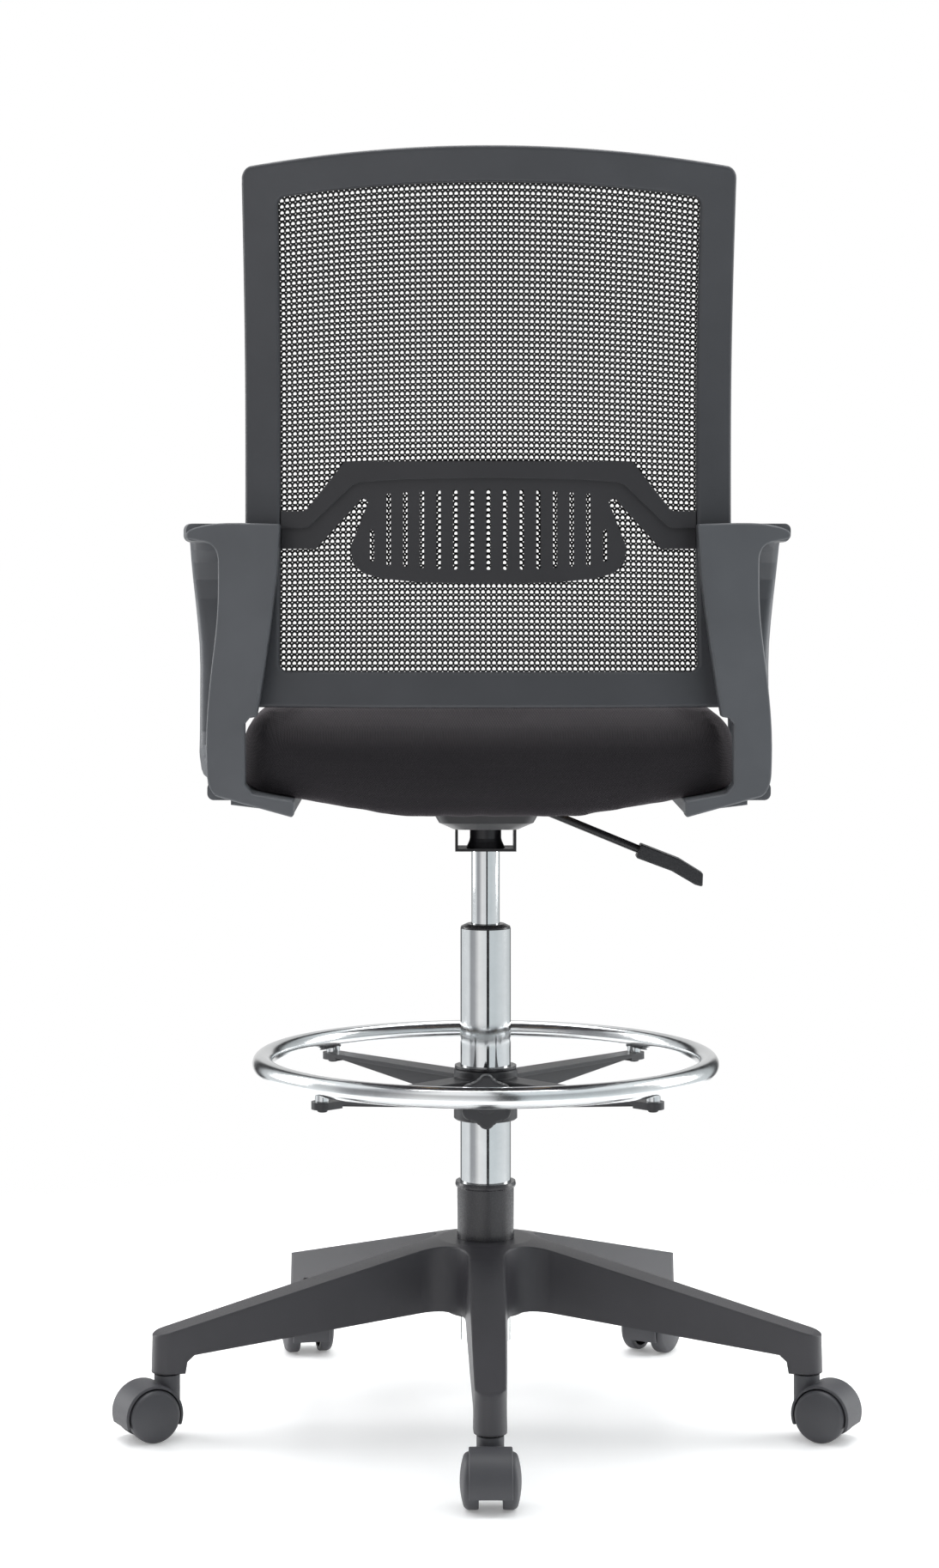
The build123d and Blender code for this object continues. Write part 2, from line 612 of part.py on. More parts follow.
def arm(side):
    """Rear post, pad, front strut and lower bar in one moulding, for the side side * X."""
    post = back_slab(0, POST_THICK) & through_back(post_outline())
    post = fillet(post.edges(), 2)
    body = post + arm_loop() + arm_foot()
    for x, y in ARM_BOLTS:
        body -= Pos(x, y, 0) * ring(3.1, 0, 590, 640)
        body -= Pos(x, y, 0) * ring(7.0, 0, 590, board_bottom(x) - 5)
    for z in BACK_SCREW_HEIGHTS:
        body -= Pos(BACK_SCREW_X, back_screw_face(z), z) * Rot(90, 0, 0) * Cylinder(2.6, 30)
    if side < 0:
        body = mirror(body, about=Plane.YZ)
    return body


def arm_bolts():
    group = []
    for side in (-1, 1):
        for x, y in ARM_BOLTS:
            group.append(bolt_with_head(side * x, y, board_bottom(x) - 5, board_bottom(x) + 14))
    return Compound(children=group)


# ---------------------------------------------------------------- back
def bow(x):
    """The back's plan curve: its middle stands further back than its sides."""
    return PLAN_BOW * (1 - (x / BACK_HALF) ** 2)


def back_screw_face(z):
    """Depth of the face between the rear moulding and a rear post, on a back screw's axis."""
    return dict(BACK_PROFILE)[z] + bow(BACK_SCREW_X)


def back_slab(front, rear):
    """Curved slab between two offsets from the back's rear surface (negative is forwards)."""
    sections = []
    for x in (-300, -200, -100, 0, 100, 200, 300):
        front_line = [(y + bow(x) + front, z) for z, y in BACK_PROFILE]
        rear_line = [(y + bow(x) + rear, z) for z, y in BACK_PROFILE]
        outline = (Spline(*front_line) + Line(front_line[-1], rear_line[-1])
                   + Spline(*reversed(rear_line)) + Line(rear_line[0], front_line[0]))
        plane = Plane(origin=(x, 0, 0), x_dir=(0, 1, 0), z_dir=(1, 0, 0))
        sections.append((plane * make_face(outline)).face())
    return loft(sections)


def back_outline(half_width, bottom, top_middle, top_corner, corner):
    """The back seen from behind: straight sides and bottom, arched top, rounded corners."""
    shape = make_face(
        Polyline(
            (-half_width, top_corner), (-half_width, bottom), (half_width, bottom), (half_width, top_corner))
        + ThreePointArc((half_width, top_corner), (0, top_middle), (-half_width, top_corner)))
    return fillet(shape.vertices(), corner)


def through_back(sketch):
    return extrude(Plane.XZ * sketch, amount=400, both=True)


def rail_ring(inset, opening_inset):
    outer = back_outline(BACK_HALF - inset, BACK_BOTTOM + inset, BACK_TOP - inset, BACK_TOP - 17 - inset, 11)
    inner = back_outline(OPENING_HALF + opening_inset, 736 - opening_inset, 1182 + opening_inset,
                         1170 + opening_inset, 8)
    return through_back(outer - inner)


def back_frame():
    """Rear moulding of the back, with holes for the screws from the arm posts."""
    frame = back_slab(-BACK_THICK + MESH_FRAME_THICK, 0) & rail_ring(2.5, 0)
    frame = fillet(frame.edges(), 3)
    for z in BACK_SCREW_HEIGHTS:
        for side in (-1, 1):
            face = Pos(side * BACK_SCREW_X, back_screw_face(z), z) * Rot(90, 0, 0)
            frame -= face * Cylinder(2.6, 40)
            frame -= face * Pos(0, 0, SCREW_SEAT) * Cylinder(
                5.3, 20, align=(Align.CENTER, Align.CENTER, Align.MIN))
    return frame


def mesh_frame():
    """Front frame that the mesh is stretched round; it clips into the rear moulding."""
    frame = back_slab(-BACK_THICK, -BACK_THICK + MESH_FRAME_THICK) & rail_ring(1.6, 3)
    return fillet(frame.edges(), 1.5)


def back_mesh():
    """The knitted mesh as a thin closed sheet over the front frame."""
    sheet = back_slab(-BACK_THICK - 1.6, -BACK_THICK)
    return sheet & through_back(back_outline(BACK_HALF, BACK_BOTTOM + 1, BACK_TOP, BACK_TOP - 17, 11))


def mirrored_outline(half):
    """Closed face of a half outline and its mirror image; the half starts and may end at x = 0."""
    other = [(-x, z) for x, z in reversed(half) if x > 0]
    return make_face(Polyline(*half, *other, close=True))


def lumbar_outline():
    """Cross bar that steps up between its ends, with a pad hanging from its middle."""
    return mirrored_outline([
        (0, 816.5), (62, 818), (98, 821.5), (116, 826.5), (125, 835), (128, 850), (111, 893),
        (117, 896), (160, 849), (192.6, 849), (192.6, 884), (172, 884), (168, 886), (133, 930)])


def lumbar_band():
    """Raised rim along the top of the cross bar and down its two slopes."""
    return mirrored_outline([
        (0, 915), (78, 913.5), (119, 911), (126, 908), (166, 870), (171, 868.5), (192.6, 868.5),
        (192.6, 884), (172, 884), (168, 886), (133, 930), (0, 930)])


def lumbar_support():
    """Slotted lumbar pad with a raised rim; its front stays clear of the mesh."""
    shape = lumbar_outline()
    for i in range(-6, 7):
        x = i * SLOT_PITCH
        shape -= Pos(x, SLOT_MIDDLE) * SlotOverall(75 - 8 * (i / 6) ** 2, SLOT_WIDTH, rotation=90)
    for side in (-1, 1):
        shape -= Pos(side * 7 * SLOT_PITCH, SLOT_MIDDLE - 15) * SlotOverall(30, SLOT_WIDTH, rotation=90)
    pad = back_slab(-13, -5) & through_back(shape)
    return pad + (back_slab(-12, -1.5) & through_back(lumbar_band()))


def back_screws():
    """Screws driven from the front through the rear moulding into the posts; the mesh frame
    hides their heads."""
    group = []
    for z in BACK_SCREW_HEIGHTS:
        for side in (-1, 1):
            head = Cylinder(4.8, 2.4, align=(Align.CENTER, Align.CENTER, Align.MIN))
            head = fillet(head.edges().sort_by(Axis.Z)[-1], 1.0)
            head -= extrude(Pos(0, 0, 1.0) * RegularPolygon(1.9, 6), amount=3)
            shank = Cylinder(2.5, SCREW_SEAT + 13, align=(Align.CENTER, Align.CENTER, Align.MAX))
            face = Pos(side * BACK_SCREW_X, back_screw_face(z), z) * Rot(90, 0, 0)
            group.append(face * Pos(0, 0, SCREW_SEAT) * (head + shank))
    return Compound(children=group)


# ---------------------------------------------------------------- write every node
save("base_star", base_star())
save("column_collar", column_collar())
save("column_tube", column_tube())
save("guide_bush", guide_bush())
save("thrust_bearing", thrust_bearing())
save("rubber_bumper", rubber_bumper())
save("retaining_clip", retaining_clip())
save("piston_rod", piston_rod())
save("gas_cylinder", gas_cylinder())
save("release_pin", release_pin())

for index in range(LEG_COUNT):
    number = index + 1
    save(f"caster_{number}_stem", place_caster(index, caster_stem()))
    save(f"caster_{number}_hood", place_caster(index, caster_hood()))
    save(f"caster_{number}_axle", place_caster(index, caster_axle()))
    save(f"caster_{number}_wheel_a", place_caster(index, caster_wheel(1)))
    save(f"caster_{number}_wheel_b", place_caster(index, caster_wheel(-1)))

save("foot_ring", foot_ring())
save("ring_hub", ring_hub())
save("ring_screws", ring_screws())
save("clamp_bush", clamp_bush())
save("clamp_knob", clamp_knob())
save("clamp_screw", clamp_screw())

save("seat_plate", seat_plate())
save("mechanism_pan", mechanism_pan())
save("taper_cup", taper_cup())
save("cup_bracket", cup_bracket())
save("lever_rod", lever_rod())
save("lever_pivot", lever_pivot())
save("lever_handle", lever_handle())
save("seat_bolts", seat_bolts())

save("seat_board", seat_board())
save("seat_nuts", seat_nuts())
save("seat_cushion", seat_cushion())

save("arm_left", arm(1))
save("arm_right", arm(-1))
save("arm_bolts", arm_bolts())

save("back_frame", back_frame())
save("mesh_frame", mesh_frame())
save("back_mesh", back_mesh())
save("lumbar_support", lumbar_support())
save("back_screws", back_screws())
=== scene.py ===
"""Drafting chair: upholstery, knitted back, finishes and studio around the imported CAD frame.

Metres throughout. +Z is up, the floor is Z = 0, the chair faces -Y and its back stands towards +Y.
"""
import json
from math import pi, radians

import bpy
import numpy as np
from bpy.props import FloatProperty, FloatVectorProperty, IntProperty, PointerProperty
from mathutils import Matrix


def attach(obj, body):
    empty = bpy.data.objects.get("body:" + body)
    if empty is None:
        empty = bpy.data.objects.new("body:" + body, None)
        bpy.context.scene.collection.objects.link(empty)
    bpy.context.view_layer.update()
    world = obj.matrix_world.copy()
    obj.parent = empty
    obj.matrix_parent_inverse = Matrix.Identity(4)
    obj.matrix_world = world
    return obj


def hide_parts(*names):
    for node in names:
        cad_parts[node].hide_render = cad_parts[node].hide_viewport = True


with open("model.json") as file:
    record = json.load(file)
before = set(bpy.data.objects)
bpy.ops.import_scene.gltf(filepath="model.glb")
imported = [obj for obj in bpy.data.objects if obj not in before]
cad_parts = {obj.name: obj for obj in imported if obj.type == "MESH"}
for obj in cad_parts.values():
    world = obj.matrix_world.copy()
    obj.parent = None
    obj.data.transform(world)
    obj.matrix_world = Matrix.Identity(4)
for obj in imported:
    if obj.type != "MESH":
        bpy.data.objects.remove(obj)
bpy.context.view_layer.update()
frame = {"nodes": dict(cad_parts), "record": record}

bl_info = {
    "name": "Drafting Chair Looks",
    "version": (1, 0, 0),
    "blender": (4, 5, 0),
    "location": "View3D > Sidebar > Drafting Chair",
    "description": "Builds the soft parts, finishes and studio of a drafting chair",
    "category": "Object",
}

MM = 0.001


def linear(code):
    """An sRGB hex colour as linear red, green, blue and alpha: each channel is c / 12.92 below
    0.04045, and ((c + 0.055) / 1.055) to the power 2.4 above it."""
    channels = [int(code[i:i + 2], 16) / 255 for i in (1, 3, 5)]
    curved = [c / 12.92 if c <= 0.04045 else ((c + 0.055) / 1.055) ** 2.4 for c in channels]
    return (*curved, 1.0)


def colour_setting(name, description, code):
    return FloatVectorProperty(
        name=name, description=description, subtype="COLOR", size=4, min=0.0, max=1.0, default=linear(code))


def length_setting(name, description, default):
    return FloatProperty(
        name=name, description=description, default=default, min=0.0, precision=5, subtype="DISTANCE",
        unit="LENGTH")


# ---------------------------------------------------------------- settings
class KnitSettings(bpy.types.PropertyGroup):
    """Sizes and colour of the back's knitted mesh."""
    wale: length_setting("Wale pitch", "Distance between two vertical cords of the knit", 5.0 * MM)
    course: length_setting("Course pitch", "Distance between two rows of holes", 5.5 * MM)
    cord: length_setting("Cord width", "Width of a vertical cord between two holes", 1.7 * MM)
    tie: length_setting("Tie height", "Height of the knit band between two rows of holes", 2.5 * MM)
    eyelet: length_setting("Eyelet size", "Width of the small hole where a cord crosses a band", 1.5 * MM)
    thickness: length_setting("Thickness", "How thick the knit is", 0.9 * MM)
    bands: IntProperty(name="Bands", description="Pieces that the knit is stored in", default=3, min=1)
    yarn: colour_setting("Yarn", "Colour of the polyester yarn", "#17171a")


class SeatSettings(bpy.types.PropertyGroup):
    """Foam and cover of the seat."""
    voxel: length_setting("Foam grid", "Edge of the grid that the foam is simulated on", 5.0 * MM)
    swell: length_setting("Swell", "Most that the top may rise as the cover tightens", 5.0 * MM)
    side_swell: length_setting("Side swell", "Most that the sides may bulge", 1.2 * MM)
    cloth: colour_setting("Cloth", "Colour of the woven seat cloth", "#322f32")


class FinishSettings(bpy.types.PropertyGroup):
    """Colours of the rigid parts."""
    base: colour_setting("Base", "Glass-filled nylon of the star base", "#38373b")
    caster: colour_setting("Casters", "Nylon of the hoods and wheels", "#434347")
    arms: colour_setting("Arms", "Polypropylene of the loop arms", "#5c5e62")
    back: colour_setting("Back frame", "Polypropylene of the back frame", "#444549")
    lumbar: colour_setting("Lumbar", "Polypropylene of the lumbar support", "#333235")
    hub: colour_setting("Ring hub", "Nylon of the foot ring's hub, spokes and knob", "#2f2f32")
    collar: colour_setting("Collar", "Polypropylene of the column's sleeve and bushes", "#353437")
    coating: colour_setting("Powder coat", "Black coat of the steel mechanism", "#222124")


class StageSettings(bpy.types.PropertyGroup):
    """Studio around the chair."""
    floor: colour_setting("Floor", "Colour of the pale studio floor", "#fafafa")
    ambient: FloatProperty(name="Ambient", description="Strength of the white surround", default=1.15, min=0.0)
    overhead: FloatProperty(
        name="Overhead", description="Power of the overhead softbox", default=120.0, min=0.0, unit="POWER")
    side: FloatProperty(name="Side", description="Power of each side softbox", default=42.0, min=0.0, unit="POWER")
    lens: FloatProperty(
        name="Lens", description="Focal length of the camera", default=76.77, min=1.0, unit="CAMERA")


# ---------------------------------------------------------------- meshes from arrays
def new_piece(name, points, faces, material, body, smooth=True):
    """Puts an array of points and an array of faces with equal corner counts in a mesh that rides
    on a body."""
    mesh = bpy.data.meshes.new(name)
    points = np.asarray(points, np.float32).reshape(-1, 3)
    faces = np.asarray(faces, np.int32)
    corners = faces.shape[1]
    mesh.vertices.add(len(points))
    mesh.vertices.foreach_set("co", points.ravel())
    mesh.loops.add(faces.size)
    mesh.loops.foreach_set("vertex_index", faces.ravel())
    mesh.polygons.add(len(faces))
    mesh.polygons.foreach_set("loop_start", np.arange(0, faces.size, corners, dtype=np.int32))
    mesh.polygons.foreach_set("use_smooth", np.full(len(faces), smooth))
    mesh.update(calc_edges=True)
    mesh.validate()
    piece = bpy.data.objects.new(name, mesh)
    bpy.context.scene.collection.objects.link(piece)
    mesh.materials.append(material)
    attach(piece, body)
    return piece


def grid_faces(rows, columns, wrap_rows=False, wrap_columns=False):
    """Quads of a grid of points stored row after row; a wrapped side joins its last line to its
    first."""
    row = np.arange(rows if wrap_rows else rows - 1)[:, None]
    column = np.arange(columns if wrap_columns else columns - 1)[None, :]
    next_row, next_column = (row + 1) % rows, (column + 1) % columns
    quads = [row * columns + column, row * columns + next_column,
             next_row * columns + next_column, next_row * columns + column]
    return np.stack(np.broadcast_arrays(*quads), axis=-1).reshape(-1, 4)


# ---------------------------------------------------------------- the back's surface, from the frame
BACK_DEGREE = 9


class BackSurface:
    """Depth of the knit as a function of place: the plan curve is a parabola across the width, and
    the side view is a polynomial in the height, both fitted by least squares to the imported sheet."""

    def __init__(self):
        mesh = frame["nodes"]["back_mesh"].data
        co = np.empty(len(mesh.vertices) * 3, np.float32)
        mesh.vertices.foreach_get("co", co)
        x, y, z = co.reshape(-1, 3).astype(float).T
        self.half = np.abs(x).max()
        self.low, self.high = z.min(), z.max()
        terms = np.column_stack([self.height_terms(z), (x / self.half) ** 2])
        self.factors = np.linalg.lstsq(terms, y, rcond=None)[0]

    def height_terms(self, z):
        share = (2 * z - self.low - self.high) / (self.high - self.low)
        return np.polynomial.chebyshev.chebvander(share, BACK_DEGREE)

    def depth(self, x, z):
        """Y of the middle of the knit at x and z."""
        x, z = np.broadcast_arrays(x, z)
        side_view = self.height_terms(z.ravel()) @ self.factors[:-1]
        return side_view.reshape(z.shape) + self.factors[-1] * (x / self.half) ** 2


back = BackSurface()
TOP_DROP = 17.0 * MM                # how far the back's top corners lie below its middle
CORNER_R = 13.0 * MM
EDGE_ROOM = 1.2 * MM                # from the knit's edge to the frame's


# ---------------------------------------------------------------- materials
def add_node(tree, kind, settings=None, links=None):
    """Adds a node. settings are its own attributes or the values of its sockets, by name or number;
    links are the outputs that feed its sockets."""
    node = tree.nodes.new(kind)
    for key, value in (settings or {}).items():
        if isinstance(key, str) and hasattr(node, key):
            setattr(node, key, value)
        else:
            node.inputs[key].default_value = value
    for key, output in (links or {}).items():
        tree.links.new(output, node.inputs[key])
    return node


def new_material(name):
    """A material with its shader and output, ready for what feeds the shader."""
    material = bpy.data.materials.new(name)
    material.use_nodes = True
    tree = material.node_tree
    tree.nodes.clear()
    shader = add_node(tree, "ShaderNodeBsdfPrincipled")
    add_node(tree, "ShaderNodeOutputMaterial", links={"Surface": shader.outputs[0]})
    place = add_node(tree, "ShaderNodeTexCoord").outputs["Object"]
    return material, tree, shader, place


def noise(tree, place, size_mm, detail=2.0, roughness=0.5):
    """Noise whose blobs are about size_mm across."""
    return add_node(tree, "ShaderNodeTexNoise", {
        "Scale": 1000.0 / size_mm, "Detail": detail, "Roughness": roughness}, {"Vector": place}).outputs[0]


def span(tree, value, low, high, from_low=0.3, from_high=0.7):
    """Maps the useful range of a noise to low..high."""
    return add_node(tree, "ShaderNodeMapRange", {
        "From Min": from_low, "From Max": from_high, "To Min": low, "To Max": high},
        {"Value": value}).outputs[0]


def two_tones(tree, colour, darker, factor):
    """The colour and a darker tone of it, mixed by a factor."""
    mix = add_node(tree, "ShaderNodeMix", {"data_type": "RGBA"}, {0: factor})
    mix.inputs[6].default_value = [c * darker for c in colour[:3]] + [1.0]
    mix.inputs[7].default_value = colour
    return mix.outputs[2]


def moulded_plastic(name, colour, roughness, grain_mm, relief, edge_mm=1.4):
    """Injection-moulded plastic from a spark-eroded tool: an even fine grain that scatters the highlight,
    faint flow clouds in tone, and edges painted lighter in patches as painted highlight and rub wear.
    The grain is drawn two to three times its real 0.3 mm so that it shows."""
    material, tree, shader, place = new_material(name)
    clouds = noise(tree, place, 60.0, 3.0)
    grain = noise(tree, place, grain_mm, 3.0, 0.6)
    wear_and_highlight_patches = noise(tree, place, 9.0, 5.0, 0.7)
    rounded = add_node(tree, "ShaderNodeBevel", {"samples": 4, "Radius": edge_mm * MM}).outputs[0]
    flat = add_node(tree, "ShaderNodeNewGeometry").outputs["Normal"]
    turn = add_node(tree, "ShaderNodeVectorMath", {"operation": "DOT_PRODUCT"}, {0: rounded, 1: flat}).outputs[1]
    edge = span(tree, turn, 0.5, 0.0, 0.80, 0.99)
    # painted highlight and wear: the rounded edges are painted lighter in patches, standing for light catching the
    # edges as well as for rub wear
    highlight_and_wear_mask = add_node(tree, "ShaderNodeMath", {"operation": "MULTIPLY"}, {0: edge, 1: wear_and_highlight_patches}).outputs[0]
    body = two_tones(tree, colour, 0.86, span(tree, clouds, 0.0, 1.0))
    highlit_and_rubbed = add_node(tree, "ShaderNodeMix", {"data_type": "RGBA"}, {0: highlight_and_wear_mask, 6: body})
    highlit_and_rubbed.inputs[7].default_value = [min(1.0, c * 2.1 + 0.01) for c in colour[:3]] + [1.0]
    tree.links.new(highlit_and_rubbed.outputs[2], shader.inputs["Base Color"])
    tree.links.new(span(tree, grain, roughness - 0.06, roughness + 0.08), shader.inputs["Roughness"])
    bump = add_node(tree, "ShaderNodeBump", {"Strength": 0.6, "Distance": relief * MM},
                    {"Height": grain, "Normal": rounded})
    tree.links.new(bump.outputs[0], shader.inputs["Normal"])
    shader.inputs["IOR"].default_value = 1.5
    return material


def chrome_plate(name, roughness, smear):
    """Chromium plate over polished steel tube: a mirror with a faint polishing smear."""
    material, tree, shader, place = new_material(name)
    smears = noise(tree, place, 14.0, 4.0, 0.7)
    fine = noise(tree, place, 1.2, 2.0)
    shader.inputs["Metallic"].default_value = 1.0
    tree.links.new(two_tones(tree, linear("#e3e5e6"), 0.93, span(tree, smears, 0.0, 1.0)),
                   shader.inputs["Base Color"])
    tree.links.new(span(tree, smears, roughness, roughness + smear), shader.inputs["Roughness"])
    bump = add_node(tree, "ShaderNodeBump", {"Strength": 0.05, "Distance": 0.05 * MM}, {"Height": fine})
    tree.links.new(bump.outputs[0], shader.inputs["Normal"])
    return material


def turned_steel(name):
    """Zinc-plated turned steel: fine circular tool marks and a dull grey sheen."""
    material, tree, shader, place = new_material(name)
    marks = add_node(tree, "ShaderNodeTexWave", {
        "bands_direction": "Z", "Scale": 314.0 / 0.9, "Distortion": 0.4}, {"Vector": place}).outputs[1]
    clouds = noise(tree, place, 6.0)
    shader.inputs["Metallic"].default_value = 1.0
    tree.links.new(two_tones(tree, linear("#b9babc"), 0.8, span(tree, clouds, 0.0, 1.0)),
                   shader.inputs["Base Color"])
    tree.links.new(span(tree, marks, 0.26, 0.38, 0.0, 1.0), shader.inputs["Roughness"])
    bump = add_node(tree, "ShaderNodeBump", {"Strength": 0.2, "Distance": 0.05 * MM}, {"Height": marks})
    tree.links.new(bump.outputs[0], shader.inputs["Normal"])
    return material


def powder_coat(name, colour):
    """Semi-gloss powder coat on pressed steel: an orange-peel surface of about 1.5 mm dimples."""
    material, tree, shader, place = new_material(name)
    peel = noise(tree, place, 1.5, 1.0)
    clouds = noise(tree, place, 30.0, 3.0)
    tree.links.new(two_tones(tree, colour, 0.8, span(tree, clouds, 0.0, 1.0)), shader.inputs["Base Color"])
    tree.links.new(span(tree, clouds, 0.30, 0.42), shader.inputs["Roughness"])
    bump = add_node(tree, "ShaderNodeBump", {"Strength": 0.35, "Distance": 0.12 * MM}, {"Height": peel})
    tree.links.new(bump.outputs[0], shader.inputs["Normal"])
    return material


def beech_plywood(name):
    """Raw moulded beech plywood: grain fibres along the chair's depth with darker pores."""
    material, tree, shader, place = new_material(name)
    stretched = add_node(tree, "ShaderNodeMapping", {"Scale": (1.0, 0.06, 1.0)}, {"Vector": place}).outputs[0]
    fibres = noise(tree, stretched, 1.6, 5.0, 0.65)
    figure = noise(tree, stretched, 22.0, 3.0)
    tree.links.new(two_tones(tree, linear("#c9a679"), 0.66, span(tree, figure, 0.2, 1.0)),
                   shader.inputs["Base Color"])
    tree.links.new(span(tree, fibres, 0.5, 0.72), shader.inputs["Roughness"])
    bump = add_node(tree, "ShaderNodeBump", {"Strength": 0.4, "Distance": 0.15 * MM}, {"Height": fibres})
    tree.links.new(bump.outputs[0], shader.inputs["Normal"])
    return material


def soft_rubber(name):
    """Black buffer rubber: matt with a mould bloom."""
    material, tree, shader, place = new_material(name)
    bloom = noise(tree, place, 4.0, 4.0)
    tree.links.new(two_tones(tree, linear("#1d1d1e"), 0.6, span(tree, bloom, 0.0, 1.0)),
                   shader.inputs["Base Color"])
    tree.links.new(span(tree, bloom, 0.7, 0.88), shader.inputs["Roughness"])
    return material


def diagonal_threads(tree, place, pitch_mm, flip):
    """Raised threads that run at 45 degrees on every face, as one set of diagonal waves; flip gives
    the axes' signs, so that the sets cross."""
    turned_place = add_node(tree, "ShaderNodeMapping", {"Scale": flip}, {"Vector": place}).outputs[0]
    return add_node(tree, "ShaderNodeTexWave", {
        "bands_direction": "DIAGONAL", "Scale": 444.0 / pitch_mm, "Distortion": 0.5,
        "Detail": 1.0, "Detail Scale": 2.0}, {"Vector": turned_place}).outputs[1]


def woven_polyester(name, colour, pitch_mm):
    """Matt hopsack of textured polyester: crossing threads, a soft sheen at grazing angles, and painted
    shade that darkens the hollows between the threads, so that their tops read lighter. Threads of
    0.8 mm are drawn about twice as coarse, so that they show."""
    material, tree, shader, place = new_material(name)
    one = diagonal_threads(tree, place, pitch_mm, (1, 1, 1))
    two = diagonal_threads(tree, place, pitch_mm, (-1, 1, 1))
    three = diagonal_threads(tree, place, pitch_mm, (1, -1, 1))
    crossing = add_node(tree, "ShaderNodeMath", {"operation": "ADD"}, {0: one, 1: two}).outputs[0]
    weave = add_node(tree, "ShaderNodeMath", {"operation": "ADD"}, {0: crossing, 1: three}).outputs[0]
    fuzz = noise(tree, place, 0.7, 2.0)
    clouds = noise(tree, place, 45.0, 3.0)
    # painted shade: the hollows between the threads are painted darker, and large clouds vary the tone at random
    tone = add_node(tree, "ShaderNodeMath", {"operation": "MULTIPLY"}, {
        0: span(tree, weave, 0.45, 1.0, 0.6, 2.4), 1: span(tree, clouds, 0.82, 1.0)}).outputs[0]
    tree.links.new(two_tones(tree, colour, 0.45, tone), shader.inputs["Base Color"])
    tree.links.new(span(tree, fuzz, 0.84, 0.96), shader.inputs["Roughness"])
    bump = add_node(tree, "ShaderNodeBump", {"Strength": 0.55, "Distance": 0.35 * MM}, {"Height": weave})
    fuzzed = add_node(tree, "ShaderNodeBump", {"Strength": 0.25, "Distance": 0.15 * MM}, {
        "Height": fuzz, "Normal": bump.outputs[0]})
    tree.links.new(fuzzed.outputs[0], shader.inputs["Normal"])
    shader.inputs["Sheen Weight"].default_value = 0.35
    shader.inputs["Sheen Roughness"].default_value = 0.45
    shader.inputs["Sheen Tint"].default_value = linear("#9a9096")
    shader.inputs["Specular IOR Level"].default_value = 0.25
    return material


def knit_yarn(name, colour):
    """Filament polyester of the knit: twisted fibres with a low satin shine, and painted shade in the
    grooves of the twist.
    """
    material, tree, shader, place = new_material(name)
    twist = add_node(tree, "ShaderNodeTexWave", {
        "bands_direction": "DIAGONAL", "Scale": 444.0 / 0.8, "Distortion": 1.5}, {"Vector": place}).outputs[1]
    # painted shade: the grooves of the twist are painted darker
    tree.links.new(two_tones(tree, colour, 0.55, twist), shader.inputs["Base Color"])
    tree.links.new(span(tree, twist, 0.5, 0.7, 0.0, 1.0), shader.inputs["Roughness"])
    bump = add_node(tree, "ShaderNodeBump", {"Strength": 0.5, "Distance": 0.12 * MM}, {"Height": twist})
    tree.links.new(bump.outputs[0], shader.inputs["Normal"])
    shader.inputs["Specular IOR Level"].default_value = 0.35
    return material


def studio_floor(name, colour):
    """Seamless vinyl floor: pale, with a faint soft reflection, and a little painted light: it glows as
    though lit, which lifts the shadows and keeps them soft. It fades into the white surround from
    0.7 to 1.25 m off the chair's axis."""
    material, tree, shader, place = new_material(name)
    clouds = noise(tree, place, 900.0, 2.0)
    tree.links.new(two_tones(tree, colour, 0.985, span(tree, clouds, 0.0, 1.0)), shader.inputs["Base Color"])
    tree.links.new(span(tree, clouds, 0.30, 0.36), shader.inputs["Roughness"])
    shader.inputs["Specular IOR Level"].default_value = 0.35
    # painted light: the floor glows a little, though it is no lamp, to lift and soften the shadows
    shader.inputs["Emission Color"].default_value = colour
    shader.inputs["Emission Strength"].default_value = 0.2
    reach = add_node(tree, "ShaderNodeVectorMath", {"operation": "LENGTH"}, {0: place}).outputs["Value"]
    solid = add_node(tree, "ShaderNodeMapRange", {
        "interpolation_type": "SMOOTHSTEP", "From Min": 0.7, "From Max": 1.25, "To Min": 1.0, "To Max": 0.0},
        {"Value": reach}).outputs[0]
    tree.links.new(solid, shader.inputs["Alpha"])
    return material


# ---------------------------------------------------------------- pieces
def back_top(x):
    """Height of the back's top edge: an arc, here a parabola, that drops to the corners."""
    return back.high - TOP_DROP * (x / back.half) ** 2


def knit_cell(knit):
    """Flat faces of one cell: the ring between an eight-sided hole with a pointed head and the cell's
    own border, whose corners are cut off by a quarter of an eyelet. Eight border points, then eight
    hole points, each list anticlockwise from the lower right."""
    half_wide, half_high = knit.wale / 2, knit.course / 2
    cut, rise = knit.eyelet / 2, knit.eyelet / 2 * 0.95
    border = np.array([
        (half_wide, -half_high + rise), (half_wide, half_high - rise), (half_wide - cut, half_high),
        (-half_wide + cut, half_high), (-half_wide, half_high - rise), (-half_wide, -half_high + rise),
        (-half_wide + cut, -half_high), (half_wide - cut, -half_high)])
    side = half_wide - knit.cord / 2
    foot, head = -half_high + knit.tie / 2, half_high - knit.tie / 2
    shoulder = head - 1.3 * MM
    tip = 0.55 * MM
    bevel = 0.45 * MM
    hole = np.array([
        (side, foot + bevel), (side, shoulder), (tip, head), (-tip, head),
        (-side, shoulder), (-side, foot + bevel), (-side + bevel, foot), (side - bevel, foot)])
    step = np.arange(8)
    ring = np.stack([step, (step + 1) % 8, (step + 1) % 8 + 8, step + 8], axis=-1)
    return np.vstack([border, hole]), ring


